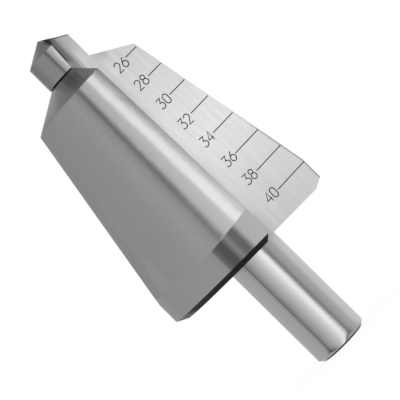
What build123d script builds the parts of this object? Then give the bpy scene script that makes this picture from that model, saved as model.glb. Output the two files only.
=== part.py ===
from build123d import *
import math
import os

# Conical sheet drill: one piece of ground high-speed steel.
# Millimetres. The drill stands on its shank end, with its axis on +Z and the point at the top.
# The origin is the centre of the shank end. Angles about the axis are counted from -Y towards +X.

# Lengths along the axis
overall_length = 84.5
shank_length = 25.1
band_height = 7.6           # rear face to the foot of the cone, at the cutting edge
pilot_length = 9.0          # pilot root to the tip, at the cutting edge

# Diameters and angles
shank_diameter = 12.0
body_diameter = 40.2
pilot_diameter = 10.8
cone_angle = 20.0           # included angle of the long cone
shoulder_angle = 122.0      # included angle of the shoulder between cone and pilot
point_angle = 120.0         # included angle of the point

# Small forms
shank_end_width = 1.0       # chamfer of the shank end, measured on the radius
shank_end_height = 0.85
flat_count = 3
flat_depth = 0.55
flat_turn = -3.5            # angle of the first flat about the axis
rear_chamfer_width = 2.2    # measured on the radius
rear_chamfer_height = 1.15
neck_depth = 0.2            # grinding undercut where the pilot meets the shoulder
neck_height = 0.15

# Clearance ground behind each cutting edge, so that the heel of the land doesn't rub
cone_relief = 0.35              # how far the cone falls away at the heel
pilot_relief = 0.15
shoulder_relief_angle = 2.0     # tilt of the shoulder towards the heel
point_relief_angle = 0.7        # tilt of the point towards the heel
relief_start = 24.0             # angle about the axis where the relief of a land begins

# Two straight flutes. Each is a V with a round root. Its floor faces -Y on the first flute, and
# its wall is the rake face of the land in front of it. The root corner drifts from front to rear,
# so that the web grows thicker towards the shank.
flute_count = 2
flute_angle = 62.4
flute_root_radius = 3.1
flute_corner_front = (-1.40, 0.70)
flute_corner_rear = (-3.90, -3.15)

# Point thinning: a small notch beside each lip, ground into the web to shorten the chisel edge.
# Its wall is parallel to the flute's wall. Going down, it moves away from the axis and runs out
# into the flute.
thinning_angle = 70.0
thinning_root_radius = 0.4
thinned_web = 0.8
thinning_slant = 25.0

# Heights and radii that follow from the sizes above
body_radius = body_diameter / 2
pilot_radius = pilot_diameter / 2
shank_radius = shank_diameter / 2
cone_foot_z = shank_length + band_height
pilot_root_z = overall_length - pilot_length
shoulder_apex_z = pilot_root_z + pilot_radius / math.tan(math.radians(shoulder_angle / 2))
cone_slope = math.tan(math.radians(cone_angle / 2))
land_turns = [turn * 360 / flute_count for turn in range(flute_count)]
wall_turn = 90 - flute_angle
thinning_turn = wall_turn + thinning_angle / 2
thinning_setback = thinning_root_radius * (1 / math.sin(math.radians(thinning_angle / 2)) - 1)


def direction(angle):
    """The level direction at an angle about the axis, counted from -Y towards +X."""
    return Vector(math.sin(math.radians(angle)), -math.cos(math.radians(angle)), 0)


def eccentric_plane(turn, relief):
    """An upright plane through the axis that one land's relieved surface is turned about."""
    side = direction(turn + relief_start + 90)
    return Plane(origin=side * relief, x_dir=(1, 0, 0), z_dir=(0, -1, 0))


def tilted_plane(turn, apex_z, relief_angle):
    """A plane through the tilted axis of one land's end face. Its Y direction is that axis."""
    start = direction(turn + relief_start)
    heel = direction(turn + relief_start - 90)
    tilt = math.radians(relief_angle)
    axis_direction = Vector(0, 0, 1) * math.cos(tilt) + heel * math.sin(tilt)
    return Plane(origin=(0, 0, apex_z), x_dir=start, z_dir=start.cross(axis_direction))


def turned_outline(*corners):
    """A closed outline to turn about an axis. Its slanted sides are two-point Bezier curves, so
    that the cones turned from them meet the flat faces in spline edges, not in hyperbolas."""
    with BuildLine() as outline:
        for start, end in zip(corners, corners[1:] + corners[:1]):
            if start[0] == end[0] or start[1] == end[1]:
                Line(start, end)
            else:
                Bezier(start, end)
    return outline.line


def v_section(corner, opening_angle, root_radius):
    """Level section of a V-shaped cut at the height of the tip, with a round root. Its wall lies
    along the flutes' wall, and its floor is turned from there by the opening angle."""
    tip = Vector(*corner)
    with BuildSketch(Plane.XY.offset(overall_length)) as section:
        with BuildLine():
            Polyline(
                tip,
                tip + direction(wall_turn) * body_diameter,
                tip + direction(wall_turn + opening_angle) * body_diameter,
                close=True,
            )
        make_face()
        fillet(section.vertices().sort_by(Axis.X)[0], root_radius)
    return section.sketch


def end_cone_outline(apex_angle, depth):
    """Half section of a solid cone, with its apex at the sketch's origin."""
    base_radius = depth * math.tan(math.radians(apex_angle / 2))
    return turned_outline((0, 0), (base_radius, -depth), (0, -depth))


# The cutting body: a short cylindrical band with a rear chamfer, then the long cone and the
# shoulder. The relieved cones of the two lands cross in the flutes.
with BuildPart() as cutting_body:
    with BuildSketch(Plane.XZ):
        add(
            turned_outline(
                (0, shank_length),
                (body_radius - rear_chamfer_width, shank_length),
                (body_radius, shank_length + rear_chamfer_height),
                (body_radius, shoulder_apex_z),
                (0, shoulder_apex_z),
            )
        )
        make_face()
    revolve(axis=Axis.Z)
    for turn in land_turns:
        land_plane = eccentric_plane(turn, cone_relief)
        with BuildSketch(land_plane):
            add(
                turned_outline(
                    (0, shank_length),
                    (body_radius + cone_slope * band_height, shank_length),
                    (body_radius - cone_slope * (shoulder_apex_z - cone_foot_z), shoulder_apex_z),
                    (0, shoulder_apex_z),
                )
            )
            make_face()
        revolve(axis=Axis(land_plane.origin, (0, 0, 1)), mode=Mode.INTERSECT)
        shoulder_plane = tilted_plane(turn, shoulder_apex_z, shoulder_relief_angle)
        with BuildSketch(shoulder_plane):
            add(end_cone_outline(shoulder_angle, shoulder_apex_z))
            make_face()
        revolve(axis=Axis(shoulder_plane.origin, shoulder_plane.y_dir), mode=Mode.INTERSECT)

# The pilot: a short cylinder with a drill point, on a slightly thinner neck that is rooted in the
# cutting body.
with BuildPart() as pilot:
    with BuildSketch(Plane.XY.offset(cone_foot_z)):
        Circle(pilot_radius)
    extrude(amount=overall_length - cone_foot_z)
    for turn in land_turns:
        land_plane = eccentric_plane(turn, pilot_relief)
        with BuildSketch(land_plane):
            add(
                turned_outline(
                    (0, cone_foot_z),
                    (pilot_radius - neck_depth, cone_foot_z),
                    (pilot_radius - neck_depth, pilot_root_z + neck_height),
                    (pilot_radius, pilot_root_z + neck_height),
                    (pilot_radius, overall_length),
                    (0, overall_length),
                )
            )
            make_face()
        revolve(axis=Axis(land_plane.origin, (0, 0, 1)), mode=Mode.INTERSECT)
        point_plane = tilted_plane(turn, overall_length, point_relief_angle)
        with BuildSketch(point_plane):
            add(end_cone_outline(point_angle, overall_length))
            make_face()
        revolve(axis=Axis(point_plane.origin, point_plane.y_dir), mode=Mode.INTERSECT)

# The whole drill: shank, cutting body and pilot as one solid, then the flats and the flutes.
with BuildPart() as cone_drill:
    with BuildSketch(Plane.XZ):
        add(
            turned_outline(
                (0, 0),
                (shank_radius - shank_end_width, 0),
                (shank_radius, shank_end_height),
                (shank_radius, shank_length),
                (0, shank_length),
            )
        )
        make_face()
    revolve(axis=Axis.Z)

    for number in range(flat_count):
        outward = direction(flat_turn + number * 360 / flat_count)
        flat_plane = Plane(
            origin=outward * (shank_radius - flat_depth), x_dir=(0, 0, 1), z_dir=outward
        )
        with BuildSketch(flat_plane):
            Rectangle(shank_length, shank_diameter, align=(Align.MIN, Align.CENTER))
        extrude(amount=shank_radius, mode=Mode.SUBTRACT)

    add(cutting_body.part)
    add(pilot.part)

    flute_run = Vector(*flute_corner_rear, shank_length) - Vector(
        *flute_corner_front, overall_length
    )
    flute = extrude(
        v_section(flute_corner_front, flute_angle, flute_root_radius),
        amount=flute_run.length,
        dir=flute_run,
        mode=Mode.PRIVATE,
    )
    thinning_corner = direction(thinning_turn) * (thinned_web / 2 - thinning_setback)
    thinning_drift = direction(thinning_turn) * math.tan(math.radians(thinning_slant))
    thinning_notch = extrude(
        v_section((thinning_corner.X, thinning_corner.Y), thinning_angle, thinning_root_radius),
        amount=pilot_radius,
        dir=thinning_drift - Vector(0, 0, 1),
        mode=Mode.PRIVATE,
    )
    with PolarLocations(0, flute_count):
        add(flute, mode=Mode.SUBTRACT)
        add(thinning_notch, mode=Mode.SUBTRACT)

cone_drill.part.label = "cone_drill"

os.makedirs("parts", exist_ok=True)
export_step(cone_drill.part, "parts/cone_drill.step")
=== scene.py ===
"""Looks of the conical sheet drill: ground-steel finishes, the diameter scale, studio and camera.

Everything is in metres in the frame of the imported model: the drill stands on its shank end at the
origin, its point is up +Z, and the flat floor of the first flute, which carries the scale, faces
-Y, towards the camera. Angles about the axis are counted in degrees from -Y towards +X.
"""

import math

import bpy
from mathutils import Matrix, Vector


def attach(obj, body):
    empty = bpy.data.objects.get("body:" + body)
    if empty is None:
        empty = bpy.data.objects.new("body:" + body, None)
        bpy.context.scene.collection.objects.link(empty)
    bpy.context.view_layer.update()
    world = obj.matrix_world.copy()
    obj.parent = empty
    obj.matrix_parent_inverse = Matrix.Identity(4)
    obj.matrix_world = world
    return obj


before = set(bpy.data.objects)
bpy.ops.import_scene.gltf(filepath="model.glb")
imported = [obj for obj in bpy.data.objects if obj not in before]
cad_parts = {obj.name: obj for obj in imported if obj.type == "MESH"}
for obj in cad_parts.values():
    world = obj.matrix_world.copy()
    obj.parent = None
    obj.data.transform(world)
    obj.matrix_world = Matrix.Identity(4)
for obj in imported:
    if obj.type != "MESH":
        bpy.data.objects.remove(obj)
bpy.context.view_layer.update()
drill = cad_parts["cone_drill"]

MM = 0.001

# ---------------------------------------------------------------------------------------------
# Sizes of the drill that the finishes and the scale need
# ---------------------------------------------------------------------------------------------
SHANK_TOP = 25.1 * MM
CONE_FOOT = 32.7 * MM
PILOT_ROOT = 75.5 * MM
NECK_TOP = PILOT_ROOT + 0.16 * MM
NOTCH_FOOT = 81 * MM            # the notches in the web lie above this
TIP = 84.5 * MM
FLAT_REACH = 5.7 * MM           # a flat's plane is nearer to the axis than this, the round isn't
NECK_RADIUS = 5.35 * MM         # the neck is nearer to the axis than this, the pilot isn't
BAND_RADIUS = 20.1 * MM
HEEL_RADIUS = 19.75 * MM        # at the cone's foot, on the edge of the flute where the scale ends
CONE_SLOPE = math.tan(math.radians(10))
POINT_SLOPE = math.tan(math.radians(30))

# The floor of the scale flute: it holds the X direction and leans back a little towards the point
FLOOR_FRONT = Vector((0, 0.70, 84.5)) * MM
FLOOR_REAR = Vector((0, -3.15, 25.1)) * MM


# ---------------------------------------------------------------------------------------------
# Camera: the photograph's viewing angle, with the drill's axis slanted 45 degrees in the picture
# ---------------------------------------------------------------------------------------------
IMAGE_WIDTH = 400
SENSOR = 36.0
PIXELS_PER_MM = 5.08            # at the drill's axis
CAMERA_DISTANCE = 361 * MM
CAMERA_AIM = Vector((0.24 * MM, 0, 39.78 * MM))
CAMERA_TILT = math.radians(0.5)
CAMERA_ROLL = math.radians(45.44)


def make_camera():
    data = bpy.data.cameras.new("camera")
    data.sensor_width = SENSOR
    data.lens = PIXELS_PER_MM * CAMERA_DISTANCE / MM * SENSOR / IMAGE_WIDTH
    data.clip_start = 0.01
    data.clip_end = 20
    camera = bpy.data.objects.new("camera", data)
    bpy.context.scene.collection.objects.link(camera)
    back = Vector((0, -math.cos(CAMERA_TILT), -math.sin(CAMERA_TILT)))
    camera.location = CAMERA_AIM + back * CAMERA_DISTANCE
    upright = (-back).to_track_quat("-Z", "Y").to_matrix()
    camera.rotation_euler = (upright @ Matrix.Rotation(-CAMERA_ROLL, 3, "Z")).to_euler()
    bpy.context.scene.camera = camera


# ---------------------------------------------------------------------------------------------
# Small helpers
# ---------------------------------------------------------------------------------------------
NOISE_MIDDLE = (0.3, 0.7)       # nearly all of a noise lies between these


def new_material(name):
    material = bpy.data.materials.new(name)
    material.use_nodes = True
    material.node_tree.nodes.clear()
    return material, material.node_tree


def add(tree, kind, settings=(), **inputs):
    """A new node with these settings and with constants or links on the named inputs."""
    node = tree.nodes.new("ShaderNode" + kind)
    for key, value in dict(settings).items():
        setattr(node, key, value)
    for key, value in inputs.items():
        socket = node.inputs[int(key[1:])] if key[0] == "_" else node.inputs[key.replace("_", " ")]
        if isinstance(value, bpy.types.NodeSocket):
            tree.links.new(value, socket)
        else:
            socket.default_value = value
    return node


def math_node(tree, operation, first, second):
    return add(tree, "Math", {"operation": operation}, _0=first, _1=second).outputs[0]


def ramp(tree, value, span, first, last):
    """first up to where the span starts, last from where it ends, and straight in between."""
    return add(tree, "MapRange", _0=value, _1=span[0], _2=span[1], _3=first, _4=last).outputs[0]


def vary(tree, noise, middle, spread):
    """A value that strays from the middle by up to the spread, as the noise does."""
    return ramp(tree, noise, NOISE_MIDDLE, middle - spread, middle + spread)


def noise_at(tree, place, scale, detail, roughness):
    noise = add(tree, "TexNoise", Vector=place, Scale=scale, Detail=detail, Roughness=roughness)
    return noise.outputs[0]


def position(tree):
    """The place on the drill's surface, in metres."""
    return add(tree, "TexCoord").outputs["Object"]


def radius_at(tree, place):
    """The distance from the drill's axis."""
    flat = add(tree, "VectorMath", {"operation": "MULTIPLY"}, _0=place, _1=(1, 1, 0))
    return add(tree, "VectorMath", {"operation": "LENGTH"}, _0=flat.outputs[0]).outputs["Value"]


def height_at(tree, place):
    return add(tree, "SeparateXYZ", Vector=place).outputs["Z"]


def new_object(name, vertices, faces):
    mesh = bpy.data.meshes.new(name)
    mesh.from_pydata([tuple(v) for v in vertices], [], faces)
    mesh.validate()
    mesh.update()
    thing = bpy.data.objects.new(name, mesh)
    bpy.context.scene.collection.objects.link(thing)
    return thing


# ---------------------------------------------------------------------------------------------
# Ground steel
# ---------------------------------------------------------------------------------------------
BROAD_ACROSS, BROAD_ALONG = 0.2, 0.5    # the broad bands' frequencies, in those of the lines

# How far each noise moves the roughness or the tone, up and down
LINE_ROUGHNESS = 0.03
CLOUD_ROUGHNESS = 0.015
CLOUD_TONE = 0.02
PATCH_TONE = 0.3
PATCH_ROUGHNESS = 0.08

# Painted shade in the steel's colour. A pair says where the painted shade is whole and where it has
# gone
BENCH_EDGE_SHADE_HEIGHTS = (0.288 * MM, 0.36 * MM)     # height above the bench of the painted dark line at the shank's end
POINT_EDGE = (0.216 * MM, 0.432 * MM)   # depth below the cone of the point
POINT_SHADE = 0.72
HEEL_EDGE = (0.14 * MM, 0.252 * MM)     # distance in from the flute's outer edge
HEEL_HEIGHTS = (40 * MM, 50 * MM)
HEEL_SHADE = 0.42
WEB_RADII = (1.7 * MM, 2.4 * MM)        # distance from the drill's axis
WEB_HEIGHTS = (82.6 * MM, 81.6 * MM)
WEB_SHADE = 0.66

# Paler skin: whole from a land's heel to the first angle, and gone at the second. Both are
# counted from the origin angle below in each half turn
PALING_ORIGIN = math.radians(20)
PALING_ANGLES = (math.radians(95), math.radians(107))
SKIN_PALING = 34                  # times the skin's own brightness


def grinding_lines(tree, along_axis, fine, slow):
    """Texture coordinates whose noise is drawn out into lines, along the axis or around it."""
    place = position(tree)
    x, y, z = add(tree, "SeparateXYZ", Vector=place).outputs
    if along_axis:
        across = [math_node(tree, "MULTIPLY", axis, fine) for axis in (x, y)]
        height = math_node(tree, "MULTIPLY", z, slow)
    else:
        across = [math_node(tree, "MULTIPLY", axis, slow) for axis in (x, y)]
        height = math_node(tree, "SUBTRACT", z, radius_at(tree, place))
        height = math_node(tree, "MULTIPLY", height, fine)
    return add(tree, "CombineXYZ", X=across[0], Y=across[1], Z=height).outputs[0]


def burnt_rim(tree):
    """1 on the last hair of the shank's end chamfer, which touches the bench: a painted line of
    shade that makes it black.
    """
    return ramp(tree, height_at(tree, position(tree)), BENCH_EDGE_SHADE_HEIGHTS, 1.0, 0.0)


def point_rim(tree):
    """A painted shade along the edge where a flute runs out in the cone of the point."""
    place = position(tree)
    fall = math_node(tree, "MULTIPLY", radius_at(tree, place), POINT_SLOPE)
    top = math_node(tree, "ADD", height_at(tree, place), fall)
    depth = math_node(tree, "SUBTRACT", TIP, top)
    return ramp(tree, depth, POINT_EDGE, POINT_SHADE, 0.0)


def heel_rim(tree):
    """A painted shade along the flute's outer edge, in the rear half of the body."""
    place = position(tree)
    height = height_at(tree, place)
    fall = math_node(tree, "MULTIPLY", math_node(tree, "SUBTRACT", height, CONE_FOOT), CONE_SLOPE)
    edge = math_node(tree, "MINIMUM", math_node(tree, "SUBTRACT", HEEL_RADIUS, fall), BAND_RADIUS)
    gap = math_node(tree, "SUBTRACT", edge, radius_at(tree, place))
    near = ramp(tree, gap, HEEL_EDGE, HEEL_SHADE, 0.0)
    low = ramp(tree, height, HEEL_HEIGHTS, 1.0, 0.0)
    return math_node(tree, "MULTIPLY", near, low)


def web_shade(tree):
    """A painted shade on the flute's root beside the tip."""
    place = position(tree)
    near = ramp(tree, radius_at(tree, place), WEB_RADII, WEB_SHADE, 0.0)
    high = ramp(tree, height_at(tree, place), WEB_HEIGHTS, 1.0, 0.0)
    return math_node(tree, "MULTIPLY", near, high)


def flute_rims(tree):
    """The painted shades of a flute."""
    rims = math_node(tree, "MAXIMUM", point_rim(tree), heel_rim(tree))
    return math_node(tree, "MAXIMUM", rims, web_shade(tree))


def ground_steel(name, along_axis, colour, roughness, anisotropy, line_width, line_length,
                 groove=0.25e-6, streaks=0.02, painted_shade=None):
    """Bare steel with grinding lines. Reflections blur more across the lines than along them.

    The painted shade, if given, is a function of the node tree that says how much darker the steel
    is painted: 0 not at all, 1 black.
    """
    material, tree = new_material(name)
    fine = grinding_lines(tree, along_axis, 1 / line_width, 1 / line_length)
    broad = grinding_lines(tree, along_axis, BROAD_ACROSS / line_width, BROAD_ALONG / line_length)
    lines = noise_at(tree, fine, scale=1.0, detail=3.0, roughness=0.6)
    bands = noise_at(tree, broad, scale=1.0, detail=2.0, roughness=0.5)
    clouds = noise_at(tree, position(tree), scale=110.0, detail=3.0, roughness=0.6)

    tone = math_node(tree, "MULTIPLY", vary(tree, bands, 1, streaks),
                     vary(tree, clouds, 1, CLOUD_TONE))
    if painted_shade:
        tone = math_node(tree, "MULTIPLY", tone, math_node(tree, "SUBTRACT", 1.0, painted_shade(tree)))
    tint = add(tree, "VectorMath", {"operation": "SCALE"}, _0=colour, Scale=tone).outputs[0]
    rough = math_node(tree, "ADD", vary(tree, lines, roughness, LINE_ROUGHNESS),
                      vary(tree, clouds, 0, CLOUD_ROUGHNESS))
    bump = add(tree, "Bump", Strength=1.0, Distance=groove, Height=lines).outputs[0]
    tangent = add(tree, "CombineXYZ", X=float(along_axis), Z=float(not along_axis)).outputs[0]
    shader = add(tree, "BsdfPrincipled", Base_Color=tint, Metallic=1.0, Roughness=rough,
                 Anisotropic=anisotropy, Normal=bump, Tangent=tangent)
    add(tree, "OutputMaterial", Surface=shader.outputs[0])
    return material


def heel_wear(tree):
    """How much paler the skin is towards each land's heel."""
    x, y, _ = add(tree, "SeparateXYZ", Vector=position(tree)).outputs
    turn = math_node(tree, "ARCTAN2", x, math_node(tree, "MULTIPLY", y, -1.0))
    turn = math_node(tree, "SUBTRACT", turn, PALING_ORIGIN)
    turn = math_node(tree, "FLOORED_MODULO", turn, math.pi)
    return ramp(tree, turn, PALING_ANGLES, SKIN_PALING, 0.0)


def dark_finish(name, colour, roughness, specular, paling=None):
    """Dark, patchy and hardly glossy: the skin that hardening leaves, or an engraved mark.

    The last argument, if given, says how much brighter it is, in times its own colour.
    """
    material, tree = new_material(name)
    patches = noise_at(tree, position(tree), scale=900.0, detail=5.0, roughness=0.6)
    tone = vary(tree, patches, 1, PATCH_TONE)
    if paling:
        tone = math_node(tree, "ADD", tone, paling(tree))
    tint = add(tree, "VectorMath", {"operation": "SCALE"}, _0=colour, Scale=tone).outputs[0]
    rough = vary(tree, patches, roughness, PATCH_ROUGHNESS)
    bump = add(tree, "Bump", Strength=0.5, Distance=4e-6, Height=patches).outputs[0]
    shader = add(tree, "BsdfPrincipled", Base_Color=tint, Roughness=rough, Normal=bump)
    shader.inputs["Specular IOR Level"].default_value = specular
    add(tree, "OutputMaterial", Surface=shader.outputs[0])
    return material


STEEL = (0.66, 0.665, 0.66)
# The shank's end chamfer: the steel at about half its brightness, as painted shade, since it
# mirrors the white bench
CHAMFER_SHADED_STEEL = (0.34, 0.343, 0.34)
# The notches by the tip: steel at about a fifth of its brightness, as painted shade in that recess
NOTCH_SHADED_STEEL = (0.13, 0.131, 0.13)
SKIN_COLOUR = (0.0042, 0.0042, 0.0043)
MARK_COLOUR = (0.045, 0.046, 0.046)


def finishes():
    """The drill's finishes, in the order of the names below."""
    return [
        ground_steel("turned_steel", False, STEEL, roughness=0.16, anisotropy=0.85,
                     line_width=0.08 * MM, line_length=14 * MM, streaks=0.015),
        ground_steel("flute_steel", True, STEEL, roughness=0.15, anisotropy=0.3,
                     line_width=0.2 * MM, line_length=30 * MM, groove=0.3e-6, streaks=0.045,
                     painted_shade=flute_rims),
        ground_steel("shank_steel", False, STEEL, roughness=0.16, anisotropy=0.8,
                     line_width=0.08 * MM, line_length=10 * MM, streaks=0.015, painted_shade=burnt_rim),
        ground_steel("shank_flat_steel", True, STEEL, roughness=0.12, anisotropy=0.2,
                     line_width=0.12 * MM, line_length=12 * MM, groove=0.2e-6, painted_shade=burnt_rim),
        # the end chamfer's steel is darkened as painted shade
        ground_steel("chamfer_steel", False, CHAMFER_SHADED_STEEL, roughness=0.35, anisotropy=0.3,
                     line_width=0.08 * MM, line_length=10 * MM, painted_shade=burnt_rim),
        # the notches' steel is darkened as painted shade
        ground_steel("notch_shaded_steel", False, NOTCH_SHADED_STEEL, roughness=0.35, anisotropy=0.3,
                     line_width=0.08 * MM, line_length=10 * MM),
        dark_finish("hardening_skin", SKIN_COLOUR, roughness=0.5, specular=0.12, paling=heel_wear),
    ]


TURNED, FLUTE, SHANK, SHANK_FLAT, CHAMFER, NOTCH, SKIN = range(7)


# How finish_of tells the faces apart
SHANK_MARGIN = 0.05 * MM        # the shank's own faces have their middles this far below its top
DOWNWARD, UPRIGHT, UPWARD = -0.3, 0.1, 0.35     # bounds on the upward part of a face's direction
NOTCH_LEAN = (0.15, 0.6)
OUTWARD = 0.9                   # how much of its radius an outer face's plane keeps from the axis
PILOT_OUTSIDE = 4.9 * MM        # faces nearer to the axis than these are in the flutes
BODY_OUTSIDE = 9 * MM


def finish_of(centre, normal):
    """Which finish a face of the drill has, from its middle and its direction."""
    radius = math.hypot(centre.x, centre.y)
    reach = centre.x * normal.x + centre.y * normal.y
    faces_out = reach > OUTWARD * radius
    if centre.z < SHANK_TOP - SHANK_MARGIN:
        if normal.z < DOWNWARD:
            return CHAMFER
        return SHANK_FLAT if abs(normal.z) < UPRIGHT and reach < FLAT_REACH else SHANK
    if normal.z < DOWNWARD:
        return SKIN
    if centre.z > NOTCH_FOOT and NOTCH_LEAN[0] < normal.z < NOTCH_LEAN[1]:
        return NOTCH
    if normal.z > UPWARD:
        return TURNED
    if PILOT_ROOT < centre.z < NECK_TOP and radius < NECK_RADIUS and faces_out:
        return SKIN
    outside = PILOT_OUTSIDE if centre.z > PILOT_ROOT else BODY_OUTSIDE
    return TURNED if radius > outside and faces_out else FLUTE


def finish_drill():
    mesh = drill.data
    mesh.materials.clear()
    for material in finishes():
        mesh.materials.append(material)
    for face in mesh.polygons:
        face.material_index = finish_of(face.center, face.normal)


# ---------------------------------------------------------------------------------------------
# The scale: thin dark strokes for lines and numbers, let into the floor of the flute
# ---------------------------------------------------------------------------------------------
SCALE = [  # diameter, height and start of its line, height and middle of its number, all in mm
    (26, 69.92, 9.96, 69.47, 8.35),
    (28, 64.15, 10.48, 64.20, 8.68),
    (30, 58.55, 10.79, 58.44, 9.10),
    (32, 52.98, 11.07, 52.63, 9.27),
    (34, 47.17, 11.41, 47.12, 9.70),
    (36, 41.25, 11.56, 41.32, 10.01),
    (38, 35.90, 12.10, 36.02, 10.32),
    (40, 30.34, 12.37, 30.54, 10.70),
]
LINE_FAN = math.radians(0.13)   # how much more each mm of diameter turns its line
LINE_SHORT = 0.22 * MM          # how far short of the edge a line stops
STROKE = 0.21 * MM              # width
STROKE_TOP = 0.012 * MM         # above the floor
STROKE_ROOT = 0.05 * MM         # below it
DIGIT_WIDTH = 1.19 * MM         # to the middle of the strokes
DIGIT_HEIGHT = 2.14 * MM
DIGIT_PITCH = 1.50 * MM
ARC_STEP = 15                   # degrees
SAME_POINT = 1e-7               # a stroke whose ends are nearer than this is closed
MITRE = 0.55                    # least cosine of half a turn, so that sharp corners stay short


def arc(x, y, across, up, start, end):
    """Points of an ellipse's arc, in degrees from +x, either way round."""
    steps = max(2, round(abs(end - start) / ARC_STEP))
    turns = [math.radians(start + (end - start) * i / steps) for i in range(steps + 1)]
    return [(x + across * math.cos(t), y + up * math.sin(t)) for t in turns]


DIGITS = {  # strokes in a box 1 wide and 1 high
    "0": [arc(0.5, 0.70, 0.44, 0.30, 0, 180) + arc(0.5, 0.30, 0.44, 0.30, 180, 360)
          + [(0.94, 0.70)]],
    "2": [arc(0.47, 0.72, 0.46, 0.28, 165, -38) + [(0.02, 0), (0.92, 0)]],
    "3": [[(0.08, 1), (0.92, 1), (0.42, 0.60)] + arc(0.44, 0.30, 0.52, 0.30, 85, -150)],
    "4": [[(0.76, 0), (0.76, 1), (0.02, 0.29), (1.0, 0.29)]],
    "6": [[(0.74, 1), (0.08, 0.46)], arc(0.5, 0.31, 0.47, 0.31, 0, 360)],
    "8": [arc(0.5, 0.78, 0.38, 0.22, 0, 360), arc(0.5, 0.28, 0.47, 0.28, 0, 360)],
}


def floor_point(x, z, lift=0.0):
    """The point of the flute floor at this x and height, lifted off it by so much."""
    share = (z - FLOOR_REAR.z) / (FLOOR_FRONT.z - FLOOR_REAR.z)
    return Vector((x, FLOOR_REAR.y + (FLOOR_FRONT.y - FLOOR_REAR.y) * share - lift, z))


def side_of(points, index):
    """Half a stroke's width, square to the stroke at this point, longer where it turns."""
    closed = (Vector(points[0]) - Vector(points[-1])).length < SAME_POINT
    here = Vector(points[index])
    before = Vector(points[index - 1]) if index else Vector(points[-2]) if closed else None
    last = index == len(points) - 1
    after = Vector(points[index + 1]) if not last else Vector(points[1]) if closed else None
    ways = [way.normalized() for way in (before and here - before, after and after - here) if way]
    middle = sum(ways, Vector((0, 0))).normalized()
    sharpness = max(MITRE, middle.dot(ways[0]))
    return Vector((-middle.y, middle.x)) * STROKE / 2 / sharpness


def add_stroke(points, vertices, faces):
    """Adds one closed bar along these (x, z) points of the flute floor."""
    start = len(vertices)
    for index, point in enumerate(points):
        side = side_of(points, index)
        corners = ((1, STROKE_TOP), (-1, STROKE_TOP), (-1, -STROKE_ROOT), (1, -STROKE_ROOT))
        for sign, lift in corners:
            x, z = Vector(point) + sign * side
            vertices.append(floor_point(x, z, lift))
    for index in range(len(points) - 1):
        low, high = start + 4 * index, start + 4 * index + 4
        for k in range(4):
            n = (k + 1) % 4
            faces.append((low + k, low + n, high + n, high + k))
    end = start + 4 * (len(points) - 1)
    faces.append((start + 3, start + 2, start + 1, start))
    faces.append((end, end + 1, end + 2, end + 3))


def line_points(diameter, height, start):
    """The two ends of a scale line, which stops just short of the flute's outer edge."""
    edge = min(BAND_RADIUS, HEEL_RADIUS - (height * MM - CONE_FOOT) * CONE_SLOPE)
    end = edge - LINE_SHORT
    rise = (end - start * MM) * math.tan(LINE_FAN * (diameter - SCALE[0][0]))
    return [(start * MM, height * MM), (end, height * MM + rise)]


def digit_strokes(number, height, middle):
    for place, digit in enumerate(str(number)):
        left = middle * MM + (place - 0.5) * DIGIT_PITCH - DIGIT_WIDTH / 2
        foot = height * MM - DIGIT_HEIGHT / 2
        for stroke in DIGITS[digit]:
            yield [(left + x * DIGIT_WIDTH, foot + y * DIGIT_HEIGHT) for x, y in stroke]


def make_scale():
    vertices, faces = [], []
    for number, line_height, line_start, number_height, number_middle in SCALE:
        add_stroke(line_points(number, line_height, line_start), vertices, faces)
        for stroke in digit_strokes(number, number_height, number_middle):
            add_stroke(stroke, vertices, faces)
    marks = new_object("diameter_scale", vertices, faces)
    marks.data.materials.append(
        dark_finish("engraved_mark", MARK_COLOUR, roughness=0.6, specular=0.2))
    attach(marks, "root")


# ---------------------------------------------------------------------------------------------
# Studio: white all round, with grey and bright cards that only the steel's reflections see
# ---------------------------------------------------------------------------------------------
FLOOR_SIZE = 4.0
FLOOR_GLOW = 0.88               # what it gives out to the camera and the steel's reflections
FLOOR_SEEN = 0.15               # its colour to them, which takes the drill's shadow
FLOOR_COLOUR = 0.8              # its colour to all other light
COARSE_STEP, FINE_STEP = 1.0, 0.5       # degrees between the points of a wall of cards

# A card row is a list of (angle about the axis, brightness). Brightness runs straight in between.
# The distances of cards from the axis, and their heights, are in mm.
TENT_RADIUS = 2000
TENT_LEFT = [(-180, 0.2), (-172, 0.3), (-150, 0.32), (-110, 0.36), (-60, 0.40), (-35, 0.46)]
TENT_MIDDLE = [(-22, 0.40), (-15.5, 0.16), (-12, 0.22), (-7, 0.64), (7, 0.76)]
TENT_RIGHT = [(10.8, 1.27), (19, 1.24), (26, 0.80), (33, 0.42), (60, 0.38), (100, 0.40),
              (135, 0.45), (143, 0.8), (150, 1.2), (157, 1.25), (160, 0.76), (174, 0.70),
              (178, 0.25), (180, 0.2)]
TENT_WINDOW = [  # (elevation, brightness straight in front of the drill)
    (-1, 0.8), (5, 0.86), (7.5, 0.93), (9, 1.06), (10.5, 1.36), (11.5, 1.25), (13, 1.0),
    (15, 0.95)]
TENT_SIDES = (18, 29)           # elevations of the plain rows above that window
TENT_ROOF = [  # (elevation, brightness behind the drill, brightness in front of it)
    (36, 0.32, 0.14), (46, 0.24, 0.12), (56, 0.20, 0.12), (89.9, 0.13, 0.12)]

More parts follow.
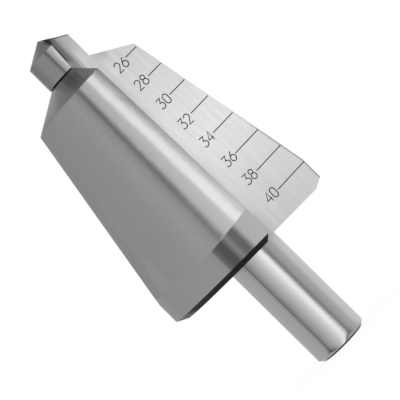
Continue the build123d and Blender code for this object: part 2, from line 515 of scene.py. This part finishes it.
# Cards nearer to the drill than the tent
PILOT_DISTANCE = 15
PILOT_FRONT = [(-180, 0.38), (-125, 0.36), (-112, 0.22), (-95, 0.24), (-76, 0.28), (-60, 0.33),
               (-24, 0.33), (-16, 0.27), (-10, 0.14), (-7, 0.20), (-4.5, 0.38), (2, 0.5),
               (6, 0.64)]
PILOT_FRONT_SPAN = (75.8, 86.5)
PILOT_LIP_ROOT = [(6, 0.64), (11, 0.80), (15, 0.84), (20, 0.91), (24.5, 0.96), (26, 0.93),
                  (34, 0.9)]
PILOT_LIP_LOW = [(6, 0.62), (10, 0.70), (12.5, 0.92), (14.5, 0.98), (16.5, 0.86), (20, 0.86),
                 (24.5, 0.86), (26, 0.6), (34, 0.53)]
PILOT_LIP_HIGH = [(6, 0.54), (14, 0.58), (20, 0.70), (24, 0.72), (26, 0.5), (34, 0.45)]
PILOT_LIP = [  # (height, card row), from the pilot's root to its point
    (72.6, PILOT_LIP_ROOT), (75, PILOT_LIP_ROOT), (77, PILOT_LIP_LOW), (80.5, PILOT_LIP_LOW),
    (83, PILOT_LIP_HIGH), (86.5, PILOT_LIP_HIGH)]
PILOT_SIDE = [(34, 0.50), (43, 0.46), (48, 0.25), (70, 0.23), (82, 0.08), (100, 0.10), (125, 0.45),
              (150, 0.9), (162, 0.9), (166, 0.4), (180, 0.38)]
PILOT_SIDE_SPAN = (79.3, 87)
PILOT_SHADE = [(-60, 0.10), (60, 0.10)]
PILOT_SHADE_SPAN = (87.1, 98)
BAND_CARDS = [(-106, 0.37), (-80, 0.36), (-20, 0.41), (-16.5, 0.39), (-14.6, 0.19), (-11.5, 0.12),
              (-8, 0.11), (-4.5, 0.31), (-1.3, 0.18), (0.8, 0.17), (2.2, 0.23), (5, 0.62),
              (17, 0.66)]
BAND_DISTANCE = 21
BAND_FOOT = 24.9
BAND_TOP = [  # (angle, height). The dip slants the upper edge of the band's reflection
    (-106, 32.4), (-60, 32.4), (-16.5, 31.33), (17, 32.4)]
SHANK_CARDS = [(-180, 0.55), (-114, 0.53), (-66, 0.50), (-57, 0.42), (-52, 0.03), (-40, 0.03),
               (-37, 0.30), (-19, 0.30), (-16.5, 0.03), (-15, 0.05), (-13.5, 0.26), (-11, 0.46),
               (-5, 0.84), (-2.8, 1.2), (-1.2, 1.5), (-0.3, 1.4), (0.6, 0.2), (38, 0.12),
               (42, 0.3), (52, 0.46), (72, 0.54), (92, 0.76), (130, 0.78), (180, 0.55)]
SHANK_WALL = [(6.5, 0.1), (20, 0.1), (20, 24.8)]    # (distance, height): a low disc, then a wall
SKIRTS = [(150, 37), (400, 61), (1000, 118)]        # (distance, height of the top)
SKIRT_FOOT = 1
SKIRT_CARDS = [(-180, 0.25), (-150, 0.3), (-128, 0.36), (-118, 0.9), (-106, 0.9), (-98, 0.42),
               (-62, 0.36), (-50, 0.4), (-20, 0.6), (0, 0.62), (18, 0.95), (26, 0.9), (34, 0.45),
               (62, 0.36), (96, 0.42), (112, 0.85), (124, 0.95), (132, 0.5), (150, 0.3),
               (180, 0.25)]
GLOW = "glow"                   # the attribute that holds a card's brightness


def level_at(row, angle):
    for (low, first), (high, second) in zip(row, row[1:]):
        if low <= angle <= high:
            return first + (second - first) * (angle - low) / (high - low)
    raise ValueError(f"no card at {angle} degrees")


def window_row(level):
    """The tent low down, where the flat floor of the scale flute mirrors this level."""
    return TENT_LEFT + [(-18, 0.40), (-8, level), (7, level)] + TENT_RIGHT


def card_material():
    material, tree = new_material("studio_card")
    glow = add(tree, "Attribute", {"attribute_name": GLOW}).outputs["Fac"]
    light = add(tree, "Emission", Strength=glow)
    add(tree, "OutputMaterial", Surface=light.outputs[0])
    return material


def show_to_reflections_only(thing):
    for rays in ("camera", "diffuse", "transmission", "volume_scatter", "shadow"):
        setattr(thing, "visible_" + rays, False)


def make_cards(name, rows, material, step=COARSE_STEP):
    """A wall of cards about the axis. rows are (distance from the axis, height, card row), in mm.

    A height is one number, or a list of (angle, height) where it changes round the axis.
    """
    first, last = rows[0][2][0][0], rows[0][2][-1][0]
    count = round((last - first) / step)
    angles = [first + (last - first) * i / count for i in range(count + 1)]
    vertices, levels, faces = [], [], []
    for distance, height, row in rows:
        for angle in angles:
            turn = math.radians(angle)
            x, y = distance * math.sin(turn), -distance * math.cos(turn)
            z = level_at(height, angle) if isinstance(height, list) else height
            vertices.append((x * MM, y * MM, z * MM))
            levels.append(level_at(row, angle))
    for r in range(len(rows) - 1):
        for i in range(count):
            a = r * (count + 1) + i
            faces.append((a, a + 1, a + count + 2, a + count + 1))
    wall = new_object(name, vertices, faces)
    glow = wall.data.attributes.new(GLOW, "FLOAT", "POINT")
    glow.data.foreach_set("value", levels)
    wall.data.materials.append(material)
    show_to_reflections_only(wall)


def tent_row(elevation, row):
    turn = math.radians(elevation)
    return (TENT_RADIUS * math.cos(turn), TENT_RADIUS * math.sin(turn), row)


def make_tent(material):
    sides = TENT_LEFT + TENT_MIDDLE + TENT_RIGHT
    rows = [tent_row(elevation, window_row(level)) for elevation, level in TENT_WINDOW]
    rows += [tent_row(elevation, sides) for elevation in TENT_SIDES]
    rows += [tent_row(elevation, [(-180, back), (-90, back), (0, front), (90, back), (180, back)])
             for elevation, back, front in TENT_ROOF]
    make_cards("tent", rows, material)


def level_rows(distance, heights, row):
    """The same card row at each of these heights."""
    return [(distance, height, row) for height in heights]


def make_pilot_cards(material):
    front = level_rows(PILOT_DISTANCE, PILOT_FRONT_SPAN, PILOT_FRONT)
    make_cards("pilot_cards", front, material, FINE_STEP)
    lip = [(PILOT_DISTANCE, height, row) for height, row in PILOT_LIP]
    make_cards("pilot_lip_cards", lip, material, FINE_STEP)
    side = level_rows(PILOT_DISTANCE, PILOT_SIDE_SPAN, PILOT_SIDE)
    make_cards("pilot_side_cards", side, material, FINE_STEP)
    shade = level_rows(PILOT_DISTANCE, PILOT_SHADE_SPAN, PILOT_SHADE)
    make_cards("pilot_shade_cards", shade, material)


def make_band_cards(name, turn, material):
    """The cards beside the band, turned this many degrees about the axis."""
    row, top = [[(angle + turn, value) for angle, value in points]
                for points in (BAND_CARDS, BAND_TOP)]
    make_cards(name, level_rows(BAND_DISTANCE, (BAND_FOOT, top), row), material, FINE_STEP)


def make_studio_cards():
    material = card_material()
    make_tent(material)
    make_pilot_cards(material)
    make_band_cards("band_cards", 0, material)
    make_band_cards("back_band_cards", 180, material)
    for number, (distance, top) in enumerate(SKIRTS):
        skirt = level_rows(distance, (SKIRT_FOOT, top), SKIRT_CARDS)
        make_cards(f"skirt_cards_{number}", skirt, material)
    shank = [(distance, height, SHANK_CARDS) for distance, height in SHANK_WALL]
    make_cards("shank_cards", shank, material, FINE_STEP)


def grey(level):
    return (level, level, level, 1)


def make_floor():
    """A plain pale floor: white to the camera and in reflections, but for the drill's shadow."""
    half = FLOOR_SIZE / 2
    corners = [(-half, -half, 0), (half, -half, 0), (half, half, 0), (-half, half, 0)]
    floor = new_object("floor", corners, [(0, 1, 2, 3)])
    material, tree = new_material("pale_floor")
    path = add(tree, "LightPath")
    seen = math_node(tree, "MAXIMUM", path.outputs["Is Camera Ray"], path.outputs["Is Glossy Ray"])
    seen = math_node(tree, "MAXIMUM", seen, path.outputs["Is Transmission Ray"])
    lift = add(tree, "Emission", Strength=math_node(tree, "MULTIPLY", seen, FLOOR_GLOW))
    matt = add(tree, "BsdfDiffuse", Color=grey(FLOOR_SEEN))
    plain = add(tree, "BsdfDiffuse", Color=grey(FLOOR_COLOUR))
    white = add(tree, "AddShader", _0=lift.outputs[0], _1=matt.outputs[0])
    mixed = add(tree, "MixShader", _0=seen, _1=plain.outputs[0], _2=white.outputs[0])
    add(tree, "OutputMaterial", Surface=mixed.outputs[0])
    floor.data.materials.append(material)


def make_world():
    """Plain white from every side, which is also the background that camera and steel see."""
    world = bpy.data.worlds.new("studio")
    bpy.context.scene.world = world
    world.use_nodes = True
    tree = world.node_tree
    tree.nodes.clear()
    light = add(tree, "Background", Color=(1, 1, 1, 1), Strength=1.0)
    add(tree, "OutputWorld", Surface=light.outputs[0])
    world.cycles.sampling_method = "NONE"


make_camera()
make_world()
make_floor()
make_studio_cards()
finish_drill()
make_scale()
bpy.context.scene.view_settings.view_transform = "Standard"
